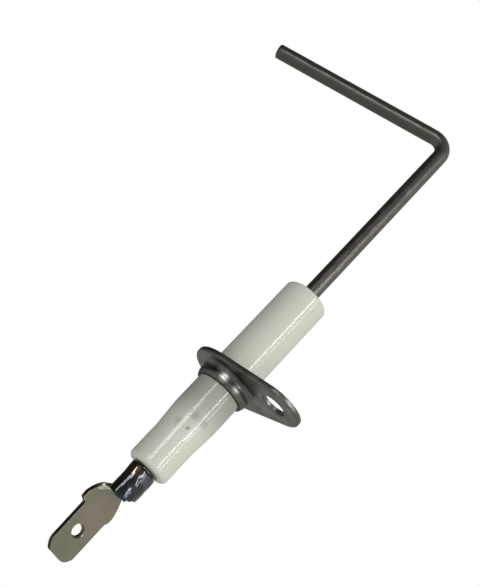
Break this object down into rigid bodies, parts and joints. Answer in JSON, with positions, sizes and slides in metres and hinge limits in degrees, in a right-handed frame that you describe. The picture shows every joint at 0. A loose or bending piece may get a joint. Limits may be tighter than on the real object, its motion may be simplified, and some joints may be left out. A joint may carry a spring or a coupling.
{
  "type": "ignition electrode",
  "caption": "Burner ignition electrode: bent spark rod in a glazed ceramic body, held by a pressed collar flange with a fixing lobe, with a flat push-on terminal behind.",
  "frame": {"origin": "on the ceramic's axis, at the plane of the flange's mounting face", "axes": "+Z along the ceramic's axis towards the spark tip, +X from the axis to the flange's fixing hole"},
  "size_m": [0.0516, 0.0273, 0.1067],
  "materials": {
    "glazed_ceramic": "clear glossy glaze over off-white alumina",
    "drawn_wire": "dark drawn heat-resistant wire, satin",
    "pressed_steel": "dark satin pressed steel",
    "nickel_plate": "warm grey nickel plate, heat-darkened at the barrel",
    "braze": "dark glossy braze with blue heat tint",
    "cement": "matt grey sealing cement"
  },
  "bodies": {
    "root": {"ceramic_insulator": "glazed_ceramic", "electrode_rod": "drawn_wire", "mounting_flange": "pressed_steel", "spade_terminal": "nickel_plate", "joint_braze": "braze", "front_cement_seal": "cement", "rear_cement_seal": "cement"}
  },
  "joints": []
}
